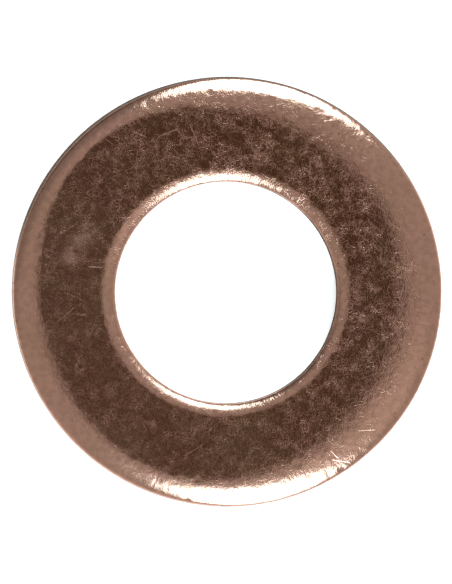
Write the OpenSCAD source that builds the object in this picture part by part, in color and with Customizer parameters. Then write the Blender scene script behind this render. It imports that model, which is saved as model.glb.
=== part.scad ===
// Flat washer: one ring stamped out of copper alloy sheet, with a plain round hole.
// The origin is the centre of the bottom face. The hole's axis is +Z.
// The top face is the side where the punch entered, so its metal is drawn down over both edges.
// The bottom face is the side where the metal broke away, and its edges are only tumbled smooth.

/* [Ring] */
// Diameter over the outside of the ring
outer_d = 20.64; // [17:0.01:30]
// Diameter of the hole
bore_d = 10.55; // [8:0.01:12.8]
// Thickness between the two flat faces
thickness = 1.65; // [1.2:0.01:3]

/* [Outer edge of the top face] */
// Width of the rolled-over shoulder, measured in from the outside wall
outer_roll_w = 1.75; // [0.8:0.01:2.1]
// Depth at which the shoulder's curve would meet the outside wall
outer_roll_h = 0.34; // [0.1:0.01:0.5]
// Radius that blends the shoulder into the outside wall
outer_nose_r = 0.14; // [0.05:0.01:0.25]

/* [Hole edge of the top face] */
// Width of the rolled-over lip, measured out from the wall of the hole
bore_roll_w = 0.65; // [0.3:0.01:0.8]
// Depth at which the lip's curve would meet the wall of the hole
bore_roll_h = 0.24; // [0.05:0.01:0.3]
// Radius that blends the lip into the wall of the hole
bore_nose_r = 0.08; // [0.03:0.01:0.15]

/* [Edges of the bottom face] */
// Radius left by tumbling where the bottom face meets the outside wall
outer_edge_r = 0.1; // [0.02:0.01:0.25]
// Radius left by tumbling where the bottom face meets the wall of the hole
bore_edge_r = 0.07; // [0.02:0.01:0.25]

/* [Hidden] */
outer_r = outer_d / 2;
bore_r = bore_d / 2;
// How far a cutter stands past the metal that it trims
over = 0.5;
// Segments around the ring, and around each of the small edge radii
ring_fn = 240;
edge_fn = 120;

// Radius of the arc that leaves the face level and has dropped by h at a distance of w
function roll_r(w, h) = (w * w + h * h) / (2 * h);

// Metal to take off a wall's top edge. The wall is x = 0, the face is y = 0 and the metal is at -x, -y.
// A wide arc rolls the face over, and a small one turns it into the wall. Each is tangent to the next.
module rolled_edge(w, h, nose_r) {
    arc_r = roll_r(w, h);
    arc_c = [-w, -arc_r];
    nose_y = sqrt(pow(arc_r - nose_r, 2) - pow(w - nose_r, 2)) - arc_r;
    nose_c = [-nose_r, nose_y];
    // The two arcs meet on the line through their centres
    meet = (nose_c - arc_c) / norm(nose_c - arc_c);
    reach = 2 * arc_r;
    difference() {
        translate([-w, nose_y])
            square([w + over, over - nose_y]);
        intersection() {
            translate(arc_c)
                circle(r = arc_r, $fn = 4 * edge_fn);
            polygon([arc_c, arc_c + reach * [0, 1], arc_c + reach * meet]);
        }
        translate(nose_c)
            circle(r = nose_r, $fn = edge_fn);
    }
}

// Metal to take off a wall's bottom edge. The wall is x = 0, the face is y = 0 and the metal is at -x, +y.
module tumbled_edge(r) {
    difference() {
        translate([-r, -over])
            square([r + over, r + over]);
        translate([-r, r])
            circle(r = r, $fn = edge_fn);
    }
}

// Half section through the ring: x is the distance from the axis and y is the height.
module ring_section() {
    difference() {
        translate([bore_r, 0])
            square([outer_r - bore_r, thickness]);
        translate([outer_r, thickness])
            rolled_edge(outer_roll_w, outer_roll_h, outer_nose_r);
        translate([outer_r, 0])
            tumbled_edge(outer_edge_r);
        translate([bore_r, thickness])
            mirror([1, 0])
                rolled_edge(bore_roll_w, bore_roll_h, bore_nose_r);
        translate([bore_r, 0])
            mirror([1, 0])
                tumbled_edge(bore_edge_r);
    }
}

// The whole washer is this one solid.
module washer() {
    color([0.60, 0.42, 0.36])
        rotate_extrude($fn = ring_fn)
            ring_section();
}

washer();
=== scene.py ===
# %% [markdown]
# # A flat washer, stamped from copper alloy sheet
#
# A flat washer is one ring of metal. It has no parts to put together, so all of its character is in
# two things: how its edges were shaped by the punch, and how its skin was rubbed, dented and
# tarnished afterwards. This lesson builds both. The CAD model fixes the sizes, and everything here
# is worked out from it.

# %% Load the frame
import math
import bmesh
import bpy
import numpy as np
from mathutils import Matrix, Vector, noise


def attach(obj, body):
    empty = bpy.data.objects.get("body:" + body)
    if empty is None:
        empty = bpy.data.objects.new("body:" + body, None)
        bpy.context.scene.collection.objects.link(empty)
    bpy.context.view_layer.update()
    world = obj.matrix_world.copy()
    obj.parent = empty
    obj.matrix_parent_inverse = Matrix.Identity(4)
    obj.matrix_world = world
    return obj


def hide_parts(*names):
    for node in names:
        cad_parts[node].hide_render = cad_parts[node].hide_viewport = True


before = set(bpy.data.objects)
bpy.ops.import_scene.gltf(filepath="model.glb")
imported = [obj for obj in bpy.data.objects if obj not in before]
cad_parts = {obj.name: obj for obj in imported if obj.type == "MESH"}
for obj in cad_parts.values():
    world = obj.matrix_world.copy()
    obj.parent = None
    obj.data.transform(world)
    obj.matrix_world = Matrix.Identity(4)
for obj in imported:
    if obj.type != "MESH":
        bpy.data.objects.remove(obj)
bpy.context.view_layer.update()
MM = 0.001

# %% [markdown]
# ## Read the ring's sizes off the CAD solid
#
# A turned solid is described by how far each of its points is from the axis, and how high it lies.
# Four circles matter: the outside wall, the wall of the hole, and the two circles where the flat of
# the top face ends. The sizes could be typed in again here, but measuring them on the frame's own
# mesh keeps the piece tied to the design: if a size changes there, the ring here follows it.

# %% Measure the frame's ring
ring_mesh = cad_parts["washer"].data
places = np.empty(len(ring_mesh.vertices) * 3, np.float32)
ring_mesh.vertices.foreach_get("co", places)
places = places.reshape(-1, 3)
out = np.hypot(places[:, 0], places[:, 1])
up = places[:, 2]
HAIR = 0.005 * MM

thickness = float(up.max())
outer_r, bore_r = float(out.max()), float(out.min())
flat_top = out[up > thickness - HAIR]
outer_roll = outer_r - float(flat_top.max())
bore_roll = float(flat_top.min()) - bore_r
outer_wall = up[out > outer_r - HAIR]
bore_wall = up[out < bore_r + HAIR]
outer_drop = thickness - float(outer_wall.max())
bore_drop = thickness - float(bore_wall.max())
outer_edge, bore_edge = float(outer_wall.min()), float(bore_wall.min())
print(f"radius {outer_r / MM:.2f} mm, hole {bore_r / MM:.2f} mm, {thickness / MM:.2f} mm thick")
print(f"shoulder {outer_roll / MM:.2f} mm wide and {outer_drop / MM:.2f} mm deep")
print(f"lip {bore_roll / MM:.2f} mm wide and {bore_drop / MM:.2f} mm deep")

# %% [markdown]
# ## How the punch leaves the edges
#
# When a punch enters sheet metal, the skin is first drawn down with it, which leaves a broad
# rolled-over shoulder. Then the metal shears, which leaves a burnished land on the wall. Near the
# far side it tears, and the last third of the wall is a rough band that leans away from the cut.
#
# The punch is never quite in line with the die, so the roll is wider on one side than on the other.
# The width is written as a sum of waves around the ring: one wave leans it to one side, two waves
# make it oval, and three waves square off the change from the wide side to the narrow one. The hole
# is struck in its own stroke, so it sits a few hundredths off centre and comes out a little wide.

# %% How wide the rolls are around the ring
AROUND = 720
turn = np.linspace(0, 2 * math.pi, AROUND, endpoint=False)
OUTER_SPREAD, BORE_SPREAD = 1.095, 1.2
OUTER_WAVES = ((1, 0.361, -10), (2, 0.102, 18), (3, 0.158, -46))
BORE_WAVES = ((1, 0.08, 110), (2, 0.06, 30))
HOLE_OPEN, HOLE_OFF, HOLE_SIDE = 0.05 * MM, 0.07 * MM, math.radians(216)


def uneven(waves):
    """How much wider than its mean a roll is at each angle, from (waves, amount, degrees) rows."""
    return 1 + sum(amount * np.cos(n * (turn - math.radians(lean))) for n, amount, lean in waves)


outer_width = OUTER_SPREAD * outer_roll * uneven(OUTER_WAVES)
bore_width = BORE_SPREAD * bore_roll * uneven(BORE_WAVES)
hole_r = bore_r + HOLE_OPEN + HOLE_OFF * np.cos(turn - HOLE_SIDE)
print(f"shoulder from {outer_width.min() / MM:.2f} to {outer_width.max() / MM:.2f} mm wide")
print(f"hole {2 * hole_r.mean() / MM:.2f} mm across")

# %% [markdown]
# ## The section as a loop of short runs
#
# A ring can be made by spinning a drawn profile with a Screw modifier, or by cutting a hole in a
# cylinder and bevelling its edges. Both give edges that are the same all round. Here the widths
# change with the angle, so the points are worked out directly.
#
# The section is walked once round: up over the lip of the hole, across the top, down the shoulder
# and the outside wall, under the ring and back up the hole. A quarter of an ellipse is a good curve
# for each roll, because it leaves the face level and meets the wall upright, with no crease at
# either end. Each run has as many points as its detail needs: the top is seen close up, so it gets
# the most.

# %% Curves of the section
LIP_STEPS, TOP_STEPS, SHOULDER_STEPS, WALL_STEPS = 14, 30, 32, 13
CORNER_STEPS, UNDER_STEPS = 4, 22
TEAR_SHARE = 0.34
TEAR_LEAN = 0.03 * MM
OUTER_CURVE, BORE_CURVE = 2.0, 2.1


def run(steps):
    """Fractions from 0 up to, but not reaching, 1, as a row to spread over every angle."""
    return np.arange(steps)[None, :] / steps


def wall_lean(height):
    """How far the torn band leans into the metal at this height."""
    start = TEAR_SHARE * thickness
    return TEAR_LEAN * np.clip((start - height) / start, 0, 1)


def roll_drop(reach, curve):
    """Share of the roll's depth lost at this share of its width: level at 0, upright at 1."""
    return 1 - np.sqrt(np.clip(1 - reach**curve, 0, 1))


print(f"torn band {TEAR_SHARE * thickness / MM:.2f} mm high, leaning in by {TEAR_LEAN / MM:.2f} mm")


# %% Walk round the section
def walk_section():
    """Distance from the axis and height of every point, by angle and by step, and each step's run."""
    quarter = math.pi / 2
    wide, lip, hole = outer_width[:, None], bore_width[:, None], hole_r[:, None]
    foot, heel = outer_r - TEAR_LEAN - outer_edge, hole + TEAR_LEAN + bore_edge
    runs = []

    t = run(LIP_STEPS)
    gone = np.cos(quarter * t)
    runs.append(("lip", hole + lip * (1 - gone), thickness - bore_drop * roll_drop(gone, BORE_CURVE)))
    t = run(TOP_STEPS)
    start, end = hole + lip, outer_r - wide
    runs.append(("top", start + (end - start) * t, np.full((1, TOP_STEPS), thickness)))
    t = run(SHOULDER_STEPS)
    gone = np.sin(quarter * t)
    runs.append(("shoulder", end + wide * gone, thickness - outer_drop * roll_drop(gone, OUTER_CURVE)))
    t = run(WALL_STEPS)
    height = thickness - outer_drop + (outer_edge - thickness + outer_drop) * t
    runs.append(("outer_wall", outer_r - wall_lean(height), height))
    t = run(CORNER_STEPS)
    height = outer_edge * (1 - np.sin(quarter * t))
    runs.append(("outer_foot", foot + outer_edge * np.cos(quarter * t), height))
    t = run(UNDER_STEPS)
    runs.append(("under", foot + (heel - foot) * t, np.zeros((1, UNDER_STEPS))))
    t = run(CORNER_STEPS)
    height = bore_edge * (1 - np.cos(quarter * t))
    runs.append(("bore_foot", heel - bore_edge * np.sin(quarter * t), height))
    t = run(WALL_STEPS)
    height = bore_edge + (thickness - bore_drop - bore_edge) * t
    runs.append(("bore_wall", hole + wall_lean(height), height))

    far = np.concatenate([np.broadcast_to(r, (AROUND, r.shape[1])) for _, r, _ in runs], axis=1)
    high = np.concatenate([np.broadcast_to(z, (AROUND, z.shape[1])) for _, _, z in runs], axis=1)
    part = np.concatenate([np.full(r.shape[1], name) for name, r, _ in runs])
    return far, high, part


far, high, part = walk_section()
STEPS = len(part)
print(f"section of {STEPS} steps, {AROUND * STEPS} points in all")

# %% [markdown]
# ## Points, and the way out of the metal at each
#
# Every mark below is a small move straight in or out of the skin, so each point needs its outward
# direction. Blender works out such normals once there is a mesh, but here they are needed before
# that. In the section the direction is square to the line between the point's two neighbours.

# %% Points and outward directions
def around(across, height):
    """Turns distance from the axis and height into points on the ring."""
    return np.stack([across * np.cos(turn)[:, None], across * np.sin(turn)[:, None], height], axis=2)


points = around(far, high)
along_far = np.roll(far, -1, axis=1) - np.roll(far, 1, axis=1)
along_high = np.roll(high, -1, axis=1) - np.roll(high, 1, axis=1)
length = np.hypot(along_far, along_high)
out_far, out_high = -along_high / length, along_far / length
outward = around(out_far, out_high)
print(f"outward directions lean by up to {abs(out_far).max():.2f} from upright")

# %% [markdown]
# ## Waves in the skin
#
# No pressed face is truly flat. It has a slow waviness from the press, and the drawn-down edges are
# rippled where the metal dragged over the die. The torn band is far rougher. A Displace modifier
# could do this with a noise texture, but the depth has to change with the place in the section, so
# smooth noise is read at every point instead, at a few sizes, and moves it by thousandths of a
# millimetre.

# %% Smooth waves over the whole skin
def waves(size, seed):
    """Smooth noise from -1 to 1 at every point, with bumps about this size across."""
    shift = Vector((seed, 2.0 * seed, 0.5 * seed))
    values = [noise.noise(Vector(p) / size + shift) for p in points.reshape(-1, 3).tolist()]
    return np.array(values).reshape(AROUND, STEPS)


# Depth and size in mm, and a seed, for each set of waves
FACE_WAVES = ((0.0030, 2.6, 3.1), (0.0010, 0.7, 8.3))
ROLL_WAVES = ((0.0040, 0.9, 4.4), (0.0030, 0.34, 6.2))
TORN_WAVES = ((0.012, 0.22, 5.7),)
ROLL_GAIN = 2.5


def summed(rows):
    """The waves of every row added up, in metres."""
    return sum(depth * MM * waves(size * MM, seed) for depth, size, seed in rows)


roll = np.clip(abs(out_far) * ROLL_GAIN, 0, 1) * (high > thickness / 2)
torn = np.isin(part, ["outer_wall", "bore_wall", "outer_foot", "bore_foot"]) & (
    high.mean(axis=0) < TEAR_SHARE * thickness
)
sink = summed(FACE_WAVES) + roll * summed(ROLL_WAVES) + torn[None, :] * summed(TORN_WAVES)
print(f"waves move the skin by up to {abs(sink).max() / MM:.3f} mm")

# %% [markdown]
# ## Dents and nicks that are deep enough to be shape
#
# Washers are tumbled together by the thousand, and they ride against each other in the box. That
# leaves shallow round dents on the faces, and nicks along the edges where another ring's corner
# struck. Marks wider than about a third of a millimetre are real dips in the mesh. Finer ones are
# left to the finish. They could be sculpted, but a sum per blow gives the same ring on every run:
# most blows are drawn from a seeded chance, and the few that catch the eye are placed one by one, by
# their angle around the ring.

# %% The shape of one blow
RIM_AT, RIM_WIDE, RIM_HIGH = 1.15, 0.22, 0.22
OUTER_BLOW_IN, OUTER_BLOW_DOWN = 0.12 * MM, 0.75
BORE_BLOW_OUT, BORE_BLOW_DOWN = 0.05 * MM, 0.6


def dent(degrees, distance, height, radius, depth):
    """A round dip with a faint raised rim around this place, as how far each point sinks."""
    angle = math.radians(degrees)
    centre = np.array([distance * math.cos(angle), distance * math.sin(angle), height])
    d = np.linalg.norm(points - centre, axis=2) / radius
    bowl = np.where(d < 1, (1 - np.minimum(d, 1) ** 2) ** 2, 0)
    rim = np.exp(-(((d - RIM_AT) / RIM_WIDE) ** 2)) * RIM_HIGH
    return depth * (bowl - rim)


def edge_blow(at_outside):
    """Distance and height of a place on the outer or the inner roll, where other rings strike."""
    if at_outside:
        return outer_r - OUTER_BLOW_IN, thickness - OUTER_BLOW_DOWN * outer_drop
    return bore_r + BORE_BLOW_OUT, thickness - BORE_BLOW_DOWN * bore_drop


print(f"edge blows land {OUTER_BLOW_IN / MM:.2f} mm in from the outside")

# %% Dents and nicks
# Radii are in mm, and depths are shares of the radius
DENTS, DENT_RADII, DENT_DEPTHS, ON_TOP = 190, (0.14, 0.36), (0.008, 0.03), 0.7
NICKS, NICK_RADII, NICK_DEPTHS, AT_OUTSIDE = 26, (0.12, 0.3), (0.02, 0.06), 0.55
# Degrees round the ring, radius, depth
PLACED_NICKS = ((68.4, 0.20, 0.04), (59.5, 0.20, 0.04), (-50, 0.30, 0.04), (-57, 0.26, 0.04))

rng = np.random.default_rng(7)
for _ in range(DENTS):
    degrees = rng.uniform(0, 360)
    distance = math.sqrt(rng.uniform(bore_r**2, outer_r**2))
    radius = rng.uniform(*DENT_RADII) * MM
    height = thickness if rng.random() < ON_TOP else 0
    sink += dent(degrees, distance, height, radius, radius * rng.uniform(*DENT_DEPTHS))
for _ in range(NICKS):
    degrees = rng.uniform(0, 360)
    distance, height = edge_blow(rng.random() < AT_OUTSIDE)
    radius = rng.uniform(*NICK_RADII) * MM
    sink += dent(degrees, distance, height, radius, radius * rng.uniform(*NICK_DEPTHS))
for degrees, across, share in PLACED_NICKS:
    distance, height = edge_blow(True)
    sink += dent(degrees, distance, height, across * MM, share * across * MM)
moved = points - outward * sink[:, :, None]
print(f"{DENTS} dents and {NICKS + len(PLACED_NICKS)} nicks, the deepest {sink.max() / MM:.3f} mm")

# %% [markdown]
# ## Skin the loop into one closed mesh
#
# Every section is joined to the next one round, and the last to the first, so the mesh is closed
# without caps or seams. Blender can bridge loops of edges too, but when the faces are made in order
# each point keeps a known place, and numbers can be kept on it for the finish to read: how much it
# is wall, and how much it is torn band.

# %% Skin a grid of points
def skin(name, grid):
    """A closed mesh from points by angle and by step around a section."""
    rows, columns = grid.shape[:2]
    bm = bmesh.new()
    verts = [bm.verts.new(p) for p in grid.reshape(-1, 3).tolist()]
    for i in range(rows):
        here, there = i * columns, (i + 1) % rows * columns
        for j in range(columns):
            k = (j + 1) % columns
            bm.faces.new((verts[here + j], verts[here + k], verts[there + k], verts[there + j]))
    bmesh.ops.recalc_face_normals(bm, faces=bm.faces)
    mesh = bpy.data.meshes.new(name)
    bm.to_mesh(mesh)
    bm.free()
    mesh.shade_smooth()
    return mesh


ring = bpy.data.objects.new("washer_ring", skin("washer_ring", moved))
bpy.context.scene.collection.objects.link(ring)
print(f"ring of {len(ring.data.polygons)} faces")


# %% Mark the walls and put the ring in its place
def keep_on_points(mesh, name, values):
    """Stores one number on each point, for the finish to read by this name."""
    layer = mesh.attributes.new(name, "FLOAT", "POINT")
    layer.data.foreach_set("value", np.ascontiguousarray(values, np.float32).ravel())


wall = np.clip(abs(out_far), 0, 1) ** 2
keep_on_points(ring.data, "wall", wall)
keep_on_points(ring.data, "torn", np.broadcast_to(torn[None, :].astype(float), wall.shape))
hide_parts("washer")
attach(ring, "root")
print(f"{wall.mean():.0%} of the points' skin is wall")

# %% [markdown]
# ## A small language for shader sums
#
# A finish is mostly arithmetic on patterns: add two, cut one at a level, fade another out. Wired by
# hand that is dozens of Math nodes. Here a value in the shader is wrapped in a class, so that
# `1 - mask` or `grain * 0.4` adds the node by itself. Vectors go through Vector Math the same way.

# %% A shader value that does sums
class Wire:
    """One output of a shader node. A sum written with it adds the node that works it out."""

    def __init__(self, paint, socket):
        self.paint, self.socket = paint, socket

    def sum(self, operation, *values, out=0):
        """Adds a Math node, or a Vector Math node if any of the values is a vector or a colour."""
        wires = {v.socket.type for v in values if isinstance(v, Wire)}
        kind = "ShaderNodeVectorMath" if wires & {"VECTOR", "RGBA"} else "ShaderNodeMath"
        return self.paint.node(kind, {"operation": operation}, *values, out=out)

    def other(self, name):
        """Another output of the same node."""
        return Wire(self.paint, self.socket.node.outputs[name])

    def dot(self, direction):
        """How far this place lies along a direction."""
        return self.sum("DOT_PRODUCT", self, direction, out="Value")

    def length(self):
        """How far this place is from the middle."""
        return self.sum("LENGTH", self, out="Value")

    def __add__(self, other):
        return self.sum("ADD", self, other)

    __radd__ = __add__

    def __sub__(self, other):
        return self.sum("SUBTRACT", self, other)

    def __rsub__(self, other):
        return self.sum("SUBTRACT", other, self)

    def __mul__(self, other):
        return self.sum("MULTIPLY", self, other)

    __rmul__ = __mul__

    def __abs__(self):
        return self.sum("ABSOLUTE", self)


print("shader values add, subtract and multiply")


# %% The node tree of one finish
class Paint:
    """The node tree of one material or world."""

    def __init__(self, owner):
        owner.use_nodes = True
        self.tree = owner.node_tree
        self.tree.nodes.clear()

    def node(self, kind, settings=None, *values, out=0, **named):
        """Adds a node: its settings first, then values or wires for its sockets, in order or by name."""
        made = self.tree.nodes.new(kind)
        for key, value in (settings or {}).items():
            setattr(made, key, value)
        sockets = list(zip(made.inputs, values))
        sockets += [(made.inputs[key.replace("_", " ")], value) for key, value in named.items()]
        for socket, value in sockets:
            if isinstance(value, Wire):
                self.tree.links.new(value.socket, socket)
            elif socket.type == "VECTOR" and isinstance(value, (int, float)):
                socket.default_value = (value, value, value)
            else:
                socket.default_value = value
        return Wire(self, made.outputs[out]) if len(made.outputs) else None

    def mix(self, factor, first, second):
        """Blends two colours, from all the first at 0 to all the second at 1."""
        made = self.node("ShaderNodeMix", {"data_type": "RGBA"}, out=2).socket.node
        for index, value in ((0, factor), (6, first), (7, second)):
            if isinstance(value, Wire):
                self.tree.links.new(value.socket, made.inputs[index])
            else:
                made.inputs[index].default_value = value
        return Wire(self, made.outputs[2])


print("paint ready")

# %% [markdown]
# ## Patterns that the finish is made of
#
# A worn skin could be a picture wrapped round the ring, but a picture goes soft up close and has a
# seam. Patterns worked out at each place stay sharp, and five of them make nearly every worn metal
# skin. Soft noise gives cloudy tarnish and fine grain, and when it is stretched one way, the fibres
# that brushing leaves. A thin line drawn where soft noise passes through its middle value wanders
# like the curly rub marks of tumbling. A mosaic with one straight line in each cell gives separate
# scratches, every one at its own angle. The same mosaic with one dot in a cell gives specks of
# tarnish. And a single line set down by its angle and distance is a scratch in a chosen place.

# %% Soft noise and steps
def soft_noise(where, size, detail=2.0, rough=0.55):
    """Noise from 0 to 1 whose blobs are about this many millimetres across."""
    return where.paint.node(
        "ShaderNodeTexNoise", None, Vector=where, Scale=1 / size, Detail=detail, Roughness=rough
    )


def step_up(value, low, high, to_low=0.0, to_high=1.0):
    """Goes smoothly from to_low to to_high as value goes from low to high."""
    return value.paint.node(
        "ShaderNodeMapRange", {"interpolation_type": "SMOOTHSTEP"}, value, low, high, to_low, to_high
    )


print("soft noise ready")


# %% Curly rub marks
def curls(where, size, width, seed):
    """Thin winding lines, 1 along the middle of each line and 0 between them."""
    soft = soft_noise(where + (seed, -seed, 0.0), size, 1.0)
    return step_up(abs(soft - 0.5), 0.0, width, 1.0, 0.0)


print("curls ready")


# %% A mosaic, and one scratch in each cell
SKEW = 1.7


def shifted(seed):
    """A shift across the sheet, so that each use of a mosaic shows another part of it."""
    return seed, SKEW * seed, 0.0


def mosaic(place, cell):
    """A random mosaic with cells of this size, and each cell's own three chances from 0 to 1."""
    flat = {"feature": "F1", "voronoi_dimensions": "2D"}
    tile = place.paint.node("ShaderNodeTexVoronoi", flat, Vector=place, Scale=1 / cell)
    return tile, place.paint.node("ShaderNodeSeparateColor", None, tile.other("Color"))


# How bent the scratches are, the shares of width and length that are cut in full, and how many are faint
BEND, FULL_WIDTH, FULL_LENGTH, FAINT = 0.8, 0.3, 0.5, (0.2, 0.9)


def scratches(where, cell, half_width, reach, seed):
    """Short, slightly bent scratches, one in each cell of a random mosaic."""
    place = where + shifted(seed)
    tile, chance = mosaic(place, cell)
    turned = where.paint.node(
        "ShaderNodeVectorRotate", {"rotation_type": "Z_AXIS"},
        Vector=place - tile.other("Position"), Angle=chance * (2 * math.pi),
    )
    along = turned.dot((1, 0, 0))
    bend = (chance.other("Green") - 0.5) * (BEND / cell)
    across = turned.dot((0, 1, 0)) + along * along * bend
    line = step_up(abs(across), half_width * FULL_WIDTH, half_width, 1.0, 0.0)
    ends = step_up(abs(along), reach * FULL_LENGTH, reach, 1.0, 0.0)
    return line * ends * step_up(chance.other("Blue"), *FAINT)


print("scratches ready")


# %% Separate specks
FULL_SPECK, SPECK_CHANCE = 0.4, (0.45, 0.9)


def specks(where, cell, radius, seed):
    """Small round specks of tarnish, in about half the cells of a random mosaic."""
    tile, chance = mosaic(where + shifted(seed), cell)
    near = step_up(tile.other("Distance") * cell, radius * FULL_SPECK, radius, 1.0, 0.0)
    return near * step_up(chance, *SPECK_CHANCE)


print("specks ready")


# %% One placed scratch
ENDS_FROM, ENDS_TO = 0.3, 0.55


def scratch_at(where, degrees, distance, heading, length, width):
    """One straight scratch, by the angle and distance of its middle and the way it points."""
    angle, way = math.radians(degrees), math.radians(heading)
    middle = Vector((distance * math.cos(angle), distance * math.sin(angle), 0))
    ahead = Vector((math.cos(way), math.sin(way), 0))
    beside = Vector((-math.sin(way), math.cos(way), 0))
    along = abs(where.dot(tuple(ahead)) - middle.dot(ahead))
    across = abs(where.dot(tuple(beside)) - middle.dot(beside))
    ends = step_up(along, length * ENDS_FROM, length * ENDS_TO, 1.0, 0.0)
    return ends * step_up(across, 0.0, width, 1.0, 0.0)


print("placed scratches ready")

# %% [markdown]
# ## The finish, first its relief
#
# Polished metal shows its wear in small slopes, because each slope reflects another part of the
# room. So the wear is written as a height in real millimetres, and a Bump node turns it into slopes.
# It has a soft part and a scratched part. The soft part is grain, fibres along the rolling direction
# of the sheet, faint lines that run out from the hole where the metal was dragged, and two sizes of
# gentle bumps. The scratched part is curly rub marks, hairline scratches and a few bright hits.

# %% Marks that catch the eye
# Degrees round the ring, distance from the axis, heading in degrees, length and half width, in mm
BRIGHT_HITS = (
    (12.8, 8.48, 6, 0.62, 0.045),
    (-44.7, 9.49, 4, 1.05, 0.040),
    (-50.5, 9.96, 90, 0.45, 0.075),
    (-56.4, 9.80, -8, 1.05, 0.045),
    (-56.8, 9.36, -45, 0.55, 0.040),
    (59.7, 9.55, 8, 0.58, 0.055),
    (47.2, 9.99, -25, 0.50, 0.060),
    (67.9, 9.98, -66, 0.50, 0.060),
    (82.2, 9.33, 15, 0.20, 0.070),
    (101.9, 7.67, -67, 1.18, 0.028),
    (109.7, 9.45, -8, 0.34, 0.050),
    (110.0, 8.15, 21, 1.00, 0.030),
    (111.0, 8.10, 10, 0.38, 0.055),
    (119.3, 8.69, -22, 0.88, 0.030),
    (137.5, 8.37, -55, 0.30, 0.055),
    (169.4, 6.45, -4, 0.85, 0.035),
    (188.8, 7.09, -4, 0.53, 0.050),
    (218.9, 9.66, 40, 0.35, 0.060),
)
# The same five numbers for a broad patch that was smeared dull
SMEAR = (162, 7.5, 59, 2.6, 0.8)
print(f"{len(BRIGHT_HITS)} bright hits and one smear")

# %% The soft part of the relief
# Size of each pattern and depth of what it leaves, in mm
GRAIN, FIBRES, DRAG = (0.055, 0.0018), (0.050, 0.0037), (0.085, 0.0030)
PEBBLE, CURD = (0.38, 0.0048), (0.20, 0.0044)
FIBRE_STRETCH = (1.0, 0.26, 1.0)
DRAG_RING, DRAG_STRETCH, DRAG_MOST = 8.0, 0.22, 1.6
# Shifts in mm that keep patterns of one kind from lying on each other
CURD_AT, PATCH_AT, BROKEN_AT = (4.0, 1.0, 6.0), (7.0, 3.0, 1.0), (2.0, 9.0, 4.0)
FLECK_AT, MOTTLE_AT = (5.0, 5.0, 5.0), (3.0, 8.0, 2.0)


def soft_relief(where, drift, patch, lively):
    """Height of grain, fibres, drag lines and gentle bumps. Drag lines show most where it is calm."""
    grain = soft_noise(where, GRAIN[0])
    fibres = soft_noise(drift * FIBRE_STRETCH, FIBRES[0])
    pebble = soft_noise(where, PEBBLE[0])
    curd = soft_noise(where + CURD_AT, CURD[0])
    outwards = where.paint.node("ShaderNodeCombineXYZ", None, Z=where.length() * DRAG_STRETCH)
    spokes = where.sum("NORMALIZE", where) * DRAG_RING + outwards
    drag = soft_noise(spokes, DRAG[0], 3.0) * (DRAG_MOST - lively)
    fine = (grain * GRAIN[1] + fibres * FIBRES[1]) * patch
    return fine + pebble * PEBBLE[1] + curd * CURD[1] + drag * DRAG[1]


print(f"soft relief from {GRAIN[1]} to {PEBBLE[1]} mm deep")

# %% The whole relief of the face
RUB_DEEP, HAIRLINE_DEEP, HIT_DEEP = 0.0013, 0.0012, 0.0028
# Size, width and seed of the curls
FINE_RUBS, WIDE_RUBS = (0.15, 0.045, 5.0), (0.26, 0.03, 17.0)
# Cell, half width, reach and seed of the hairlines
SHORT_HAIRS, LONG_HAIRS = (0.9, 0.018, 0.30, 11.0), (2.4, 0.018, 0.8, 23.0)
# How deep the wide rubs and the short hairlines are beside the others, and how bright a hairline is
WIDE_SHARE, SHORT_SHARE, HAIR_BRIGHT = 0.5, 0.5, 0.3
# The fibres drift from side to side, the wear comes in patches, and the fine rubs are broken up
DRIFT_SIZE, DRIFT_FAR = 1.6, 0.5
PATCH_SIZE, PATCH_FROM, PATCH_WEAR = 0.7, (0.38, 0.64), (0.62, 1.28)
BROKEN_SIZE, BROKEN_FROM = 0.32, (0.40, 0.58)


def face_relief(where, lively, rubbed):
    """Height of the worn face in millimetres, and how scratched each place is."""
    slow = where.paint.node("ShaderNodeTexNoise", None, Vector=where, Scale=1 / DRIFT_SIZE, out="Color")
    drift = where + (slow - 0.5) * DRIFT_FAR
    worn = soft_noise(where + PATCH_AT, PATCH_SIZE, 3.0)
    patch = step_up(worn, *PATCH_FROM, *PATCH_WEAR) * lively
    broken = step_up(soft_noise(where + BROKEN_AT, BROKEN_SIZE), *BROKEN_FROM)
    wide = curls(where, *WIDE_RUBS) * patch * WIDE_SHARE
    rubs = (curls(drift, *FINE_RUBS) * broken + wide) * rubbed
    hairlines = scratches(where, *SHORT_HAIRS) * SHORT_SHARE + scratches(where, *LONG_HAIRS)
    hits = sum(scratch_at(where, *hit) for hit in BRIGHT_HITS)
    cuts = rubs * patch * RUB_DEEP + hairlines * HAIRLINE_DEEP + hits * HIT_DEEP
    return soft_relief(where, drift, patch, lively) - cuts, hairlines * HAIR_BRIGHT + hits


print(f"rubs {RUB_DEEP}, hairlines {HAIRLINE_DEEP} and hits {HIT_DEEP} mm deep")

# %% [markdown]
# ## The zones of the ring
#
# One finish covers the whole ring, but it doesn't wear the same everywhere. The number kept on each
# point, from 0 on the flat to 1 on an upright wall, tells where the shoulder and the walls begin.
# Tumbling smoothed the shoulder and left more texture on one side of the face than on the other.
# The cut walls keep a dull dark brown, partly oxide that was never rubbed and partly painted shade,
# and on one side of the outside and on one side of the hole a thin line of painted shade creeps over the
# edge.

# %% Masks for the zones
# Where each zone begins and where it is full, on the scale from flat to upright
SHOULDER_FROM, ROLL_FROM = (0.004, 0.035), (0.0, 0.12)
EDGE_SHADE_FROM, UPRIGHT_FROM = (0.28, 0.48), (0.72, 0.90)
# How much steeper the lip of the hole may be before it takes the painted shade line, and before it
# counts as upright
LIP_SHADE_LATE, LIP_UPRIGHT_LATE = 0.2, 0.1
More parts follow.
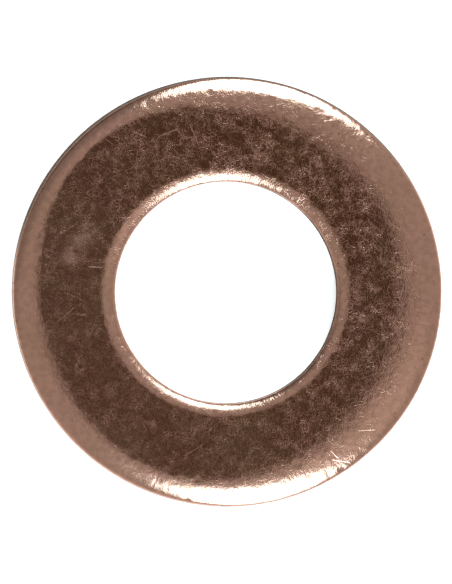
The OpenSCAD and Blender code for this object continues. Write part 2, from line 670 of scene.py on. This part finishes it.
# In mm: where the hole's surroundings end, the way to the livelier side, and the two sides with a
# painted shade line
NEAR_HOLE = (6.0, 8.0)
LIVELY_SIDE, LIVELY_FROM = (0.8, 0.6, 0.0), (-8.0, 7.0)
OUTER_SHADE_SIDE, OUTER_SHADE_FROM = (-0.17, 0.98, 0.0), (2.0, 5.6)
INNER_SHADE_SIDE, INNER_SHADE_FROM = (0.99, -0.12, 0.0), (2.6, 4.0)


def ring_zones(where, wall_part):
    """Masks from 0 to 1 for the livelier side, the hole, the rolls, the shoulder, walls and painted
    shade lines.
    """
    side = step_up(where.dot(LIVELY_SIDE), *LIVELY_FROM)
    by_hole = step_up(where.length(), *NEAR_HOLE, 1.0, 0.0)
    roll = step_up(wall_part, *ROLL_FROM) * by_hole
    shoulder = step_up(wall_part, *SHOULDER_FROM) * (1 - by_hole)
    upright = step_up(wall_part - by_hole * LIP_UPRIGHT_LATE, *UPRIGHT_FROM)
    # Painted shade: a thin dark line over the rim on one side of the outside and on one side of the hole
    outer_shade_line = (1 - by_hole) * step_up(where.dot(OUTER_SHADE_SIDE), *OUTER_SHADE_FROM)
    inner_shade_line = by_hole * step_up(where.dot(INNER_SHADE_SIDE), *INNER_SHADE_FROM)
    painted_edge_shade = step_up(wall_part - by_hole * LIP_SHADE_LATE, *EDGE_SHADE_FROM) * (outer_shade_line + inner_shade_line)
    return side, roll, shoulder, upright, painted_edge_shade


print("zones ready")

# %% [markdown]
# ## Colour, roughness and the finished metal
#
# Bare copper alloy is metal through and through, so its colour is its reflection, and the face is
# fully metallic. The tarnish is a browner tone in clouds, with finer mottling and a few dark specks.
# The walls are not metallic, and their brown is partly the oxide of the cut and partly painted shade
# that makes the rim read dark from above: the burnished land is a lighter brown, the torn band below
# it a darker one, and neither mirrors the floor.

# %% Tones of the finish
COPPER = (0.630, 0.345, 0.255, 1.0)
BROWN = (0.530, 0.310, 0.200, 1.0)
# The two wall tones are partly oxide and partly painted shade; the darker one also tints mottle and
# specks
LAND_OXIDE_AND_SHADE = (0.105, 0.060, 0.042, 1.0)
OXIDE_AND_SHADE = (0.042, 0.025, 0.018, 1.0)
# How far each kind of mark pulls the colour toward its own tone
CLOUD_TINT, SCRATCH_TINT, SPECKLE_TINT, MOTTLE_TINT, SPECK_TINT = 0.5, 0.25, 0.25, 0.15, 0.5
STREAK_STRETCH, STREAK_SIZE, STREAK_FROM = (1.0, 1.0, 0.15), 0.06, (0.3, 0.7)
# How far the walls go to their dark tone: streaky dirt and oxide together with painted shade
DIRT_AND_SHADE_COVER, TORN_COVER = (0.90, 0.96), 0.04
MOTTLE_SIZE, MOTTLE_FROM = 0.30, (0.38, 0.64)
# Cell, radius and seed of the dark specks
DARK_SPECKS = (1.4, 0.06, 31.0)


def metal_colour(paint, where, marks, dull_and_shaded, torn_part):
    """Copper with its tarnish, and the walls' dark tone of oxide and painted shade, from masks for each
    kind of mark.
    """
    tarnish, scratched, speckle = marks
    colour = paint.mix(tarnish * CLOUD_TINT, COPPER, BROWN)
    colour = paint.mix(scratched * SCRATCH_TINT, colour, COPPER)
    streaks = soft_noise(where * STREAK_STRETCH, STREAK_SIZE, 3.0)
    wall_dirt_and_shade = step_up(streaks, *STREAK_FROM, *DIRT_AND_SHADE_COVER) + torn_part * TORN_COVER
    # Painted shade with oxide: the walls and the edge shade lines are pulled toward the dark wall tones
    colour = paint.mix(dull_and_shaded * wall_dirt_and_shade, colour, paint.mix(torn_part, LAND_OXIDE_AND_SHADE, OXIDE_AND_SHADE))
    colour = paint.mix(speckle * SPECKLE_TINT, colour, BROWN)
    mottle = step_up(soft_noise(where + MOTTLE_AT, MOTTLE_SIZE, 4.0), *MOTTLE_FROM)
    colour = paint.mix(mottle * MOTTLE_TINT, colour, OXIDE_AND_SHADE)
    return paint.mix(specks(where, *DARK_SPECKS) * SPECK_TINT, colour, OXIDE_AND_SHADE)


print("tones ready")

# %% Copper alloy
# Roughness of the clean face, and what each mark adds to it or takes off
FACE_ROUGH, SIDE_ROUGH, TARNISH_ROUGH, SPECKLE_ROUGH = 0.128, -0.046, 0.02, 0.07
SMEAR_ROUGH, DULL_ROUGH, TORN_ROUGH = 0.09, 0.45, 0.1
# Relief on the duller side and what the livelier side adds, and how much the shoulder is smoothed
CALM, LIVELIER, SHOULDER_CALM = 0.58, 0.52, 0.1
# Stretch, size and depth of the upright scores on the walls, and size and depth of the tearing, in mm
SCORE_STRETCH, SCORE_SIZE, SCORE_DEEP = (1.0, 1.0, 0.12), 0.05, 0.005
TEAR_SIZE, TEAR_DEEP = 0.10, 0.030
# Size of each pattern, and where it begins and is full
TARNISH_SIZE, TARNISH_FROM = 2.2, (0.35, 0.7)
SMEAR_SIZE, SMEAR_FROM = 0.5, (0.30, 0.62)
FLECK_STRETCH, FLECK_SIZE, FLECK_FROM = (1.0, 0.5, 1.0), 0.045, (0.45, 0.75)


def copper_alloy():
    """The whole finish, from the flat of the face to the torn band of the walls."""
    finish = bpy.data.materials.new("copper_alloy")
    paint = Paint(finish)
    where = paint.node("ShaderNodeTexCoord", None, out="Object") * (1 / MM)
    wall_part = paint.node("ShaderNodeAttribute", {"attribute_name": "wall"}, out="Fac")
    torn_part = paint.node("ShaderNodeAttribute", {"attribute_name": "torn"}, out="Fac")
    side, roll, shoulder, upright, painted_edge_shade = ring_zones(where, wall_part)
    # Walls and the painted shade lines: dull, not metallic, and dark
    dull_and_shaded = upright + painted_edge_shade * (1 - upright)
    relief, scratched = face_relief(where, CALM + side * LIVELIER, 1 - shoulder)

    smear = scratch_at(where, *SMEAR) * step_up(soft_noise(where, SMEAR_SIZE, 3.0), *SMEAR_FROM)
    tarnish = step_up(soft_noise(where, TARNISH_SIZE, 4.0), *TARNISH_FROM)
    speckle = step_up(soft_noise(where * FLECK_STRETCH + FLECK_AT, FLECK_SIZE), *FLECK_FROM)
    rough = FACE_ROUGH + side * SIDE_ROUGH + tarnish * TARNISH_ROUGH + speckle * SPECKLE_ROUGH
    rough = rough + smear * SMEAR_ROUGH + dull_and_shaded * DULL_ROUGH + torn_part * TORN_ROUGH

    scores = soft_noise(where * SCORE_STRETCH, SCORE_SIZE) * SCORE_DEEP
    tears = soft_noise(where, TEAR_SIZE, 3.0) * torn_part * TEAR_DEEP
    face_height = relief * (1 - upright) * (1 + roll) * (1 - shoulder * SHOULDER_CALM)
    height = face_height + (scores + tears) * upright
    metal = paint.node(
        "ShaderNodeBsdfPrincipled", None,
        Base_Color=metal_colour(paint, where, (tarnish, scratched, speckle), dull_and_shaded, torn_part),
        Metallic=1 - dull_and_shaded, Roughness=rough, Specular_IOR_Level=0.0,
        Normal=paint.node("ShaderNodeBump", None, Strength=1.0, Distance=MM, Height=height),
    )
    paint.node("ShaderNodeOutputMaterial", None, metal)
    return finish


ring.data.materials.append(copper_alloy())
print("copper alloy on", ring.name)

# %% [markdown]
# ## A pale floor
#
# The ring lies on a plain white sheet, which fades into the background with no horizon. A curved
# backdrop would do that too, but a wide flat sheet is simpler and looks the same from every side. It
# is a little bright by itself, so that it stays white right up to the metal, as paper on a light
# table does.

# %% Floor
PAPER, PAPER_BRIGHT = (0.86, 0.86, 0.86, 1), (0.9, 0.9, 0.9, 1)
PAPER_CLOUD, PAPER_GLOW = 0.2, 0.6


def pale_floor():
    """White paper with faint clouds in it and a little light of its own."""
    finish = bpy.data.materials.new("pale_floor")
    paint = Paint(finish)
    where = paint.node("ShaderNodeTexCoord", None, out="Object")
    tone = paint.mix(soft_noise(where, PAPER_CLOUD), PAPER, PAPER_BRIGHT)
    sheet = paint.node(
        "ShaderNodeBsdfPrincipled", None,
        Base_Color=tone, Roughness=0.8, Emission_Color=(1, 1, 1, 1), Emission_Strength=PAPER_GLOW,
    )
    paint.node("ShaderNodeOutputMaterial", None, sheet)
    return finish


FLOOR_HALF = 4.0
floor_mesh = bpy.data.meshes.new("floor")
corners = [(x * FLOOR_HALF, y * FLOOR_HALF, 0) for x, y in ((-1, -1), (1, -1), (1, 1), (-1, 1))]
floor_mesh.from_pydata(corners, [], [(0, 1, 2, 3)])
floor = bpy.data.objects.new("floor", floor_mesh)
floor.data.materials.append(pale_floor())
bpy.context.scene.collection.objects.link(floor)
print(f"floor {2 * FLOOR_HALF:.0f} m across")

# %% [markdown]
# ## The camera
#
# The ring is seen from almost straight above, through a long lens, so both circles stay round. A
# camera with no perspective would keep them round as well, but then the whole flat face would
# reflect one single spot. The camera leans a few degrees to one side, which lets a hair's breadth
# of wall show.

# %% Camera
LENS, SENSOR = 600.0, 36.0
NEAR_CLIP, FAR_CLIP = 0.01, 10
CAMERA_LEAN, CAMERA_SIDE = 2.5, 168.0
FRAME_SHARE = 1.3585
AIM_UP = 0.7
AIM_OFF = Vector((-0.055 * MM, -0.014 * MM, 0))


def toward(zenith, azimuth):
    """The direction that leans this many degrees from straight up, to this side."""
    z, a = math.radians(zenith), math.radians(azimuth)
    return Vector((math.sin(z) * math.cos(a), math.sin(z) * math.sin(a), math.cos(z)))


frame_tall = FRAME_SHARE * 2 * outer_r
reach = frame_tall / 2 / (SENSOR / 2 / LENS)
back = toward(CAMERA_LEAN, CAMERA_SIDE)
side = Vector((0, 1, 0)).cross(back).normalized()
camera = bpy.data.objects.new("camera", bpy.data.cameras.new("camera"))
camera.data.lens, camera.data.sensor_width = LENS, SENSOR
camera.data.clip_start, camera.data.clip_end = NEAR_CLIP, FAR_CLIP
aim = Vector((0, 0, thickness * AIM_UP)) + AIM_OFF
turned = Matrix((side, back.cross(side), back)).transposed()
camera.matrix_world = Matrix.Translation(aim + back * reach) @ turned.to_4x4()
bpy.context.scene.collection.objects.link(camera)
bpy.context.scene.camera = camera
print(f"camera {reach:.3f} m away")

# %% [markdown]
# ## Light for polished metal
#
# Metal shows only what it reflects, so lighting it means choosing its surroundings. A flat face seen
# square on reflects the camera's own corner of the room, and if that is dark, the face goes deep
# brown while every slope around it picks up the pale walls. Two large soft boxes, one behind and one
# in front, put the white bands on the shoulders.
#
# The walls could be a picture of a real room, but a few plain shapes are easier to steer. They are a
# shader too: a tone by how far a direction is from the dark corner, a flag that shades one side, and
# a small white card that bounces light back into the face.

# %% Soft boxes
LAMP_AWAY = 0.7
DAYLIGHT = (0.62, 0.87, 1.0)
# Degrees from straight up, degrees round, how wide and how tall in degrees of sky, and watts
SOFTBOXES = {"softbox_back": (43, 75, 33, 38, 4.2), "softbox_front": (47, 281, 30, 56, 5.4)}


def softbox(name, zenith, azimuth, wide, tall, power):
    """An oval lamp that faces the ring, sized by the degrees of sky that it fills."""
    lamp = bpy.data.lights.new(name, "AREA")
    lamp.shape, lamp.energy, lamp.color = "ELLIPSE", power, DAYLIGHT
    lamp.size = 2 * LAMP_AWAY * math.tan(math.radians(wide / 2))
    lamp.size_y = 2 * LAMP_AWAY * math.tan(math.radians(tall / 2))
    box = bpy.data.objects.new(name, lamp)
    direction = toward(zenith, azimuth)
    box.location = direction * LAMP_AWAY
    box.rotation_mode = "QUATERNION"
    box.rotation_quaternion = direction.to_track_quat("Z", "Y")
    box.visible_camera = False
    bpy.context.scene.collection.objects.link(box)


for name, setting in SOFTBOXES.items():
    softbox(name, *setting)
print(f"{len(SOFTBOXES)} soft boxes, {LAMP_AWAY} m away")

# %% Studio walls
DARK_CORNER = toward(1.98, -56)
# Tones by the cosine of the angle from the dark corner: 1 is the corner itself
WALL_TONES = ((0.0, 1.05), (0.5, 0.52), (0.965, 0.48), (0.9878, 0.47))
CORNER_TONES = ((0.9928, (0.085, 0.054, 0.029)), (1.0, (0.070, 0.0435, 0.0215)))
# The flag shades in two steps, each from one cosine to another and by a depth
FLAG_SIDE, FLAG_STEPS = toward(90, 132), ((0.25, 0.65, 0.38), (0.72, 0.92, 0.40))
BOUNCE_SIDE, BOUNCE_FROM, BOUNCE_GLOW = toward(24, 318), (0.966, 0.992), 0.38


def studio_walls():
    """The room that the metal reflects: pale walls, a dark corner, a flag and a bounce card."""
    world = bpy.data.worlds.new("studio")
    paint = Paint(world)
    direction = paint.node("ShaderNodeTexCoord", None, out="Generated")
    ramp = paint.node("ShaderNodeValToRGB", None, direction.dot(tuple(DARK_CORNER)))
    stops = ramp.socket.node.color_ramp.elements
    wanted = [(at, (tone, tone, tone)) for at, tone in WALL_TONES] + list(CORNER_TONES)
    while len(stops) < len(wanted):
        stops.new(0.5)
    for stop, (at, tone) in zip(stops, wanted):
        stop.position, stop.color = at, (*tone, 1)
    to_flag = direction.dot(tuple(FLAG_SIDE))
    shade = 1 - sum(step_up(to_flag, low, high) * depth for low, high, depth in FLAG_STEPS)
    bounce = step_up(direction.dot(tuple(BOUNCE_SIDE)), *BOUNCE_FROM) * BOUNCE_GLOW
    glow = paint.node("ShaderNodeBackground", None, ramp, shade + bounce)
    paint.node("ShaderNodeOutputWorld", None, glow)
    bpy.context.scene.world = world


studio_walls()
bpy.context.scene.view_settings.view_transform = "Standard"
print("studio walls set")
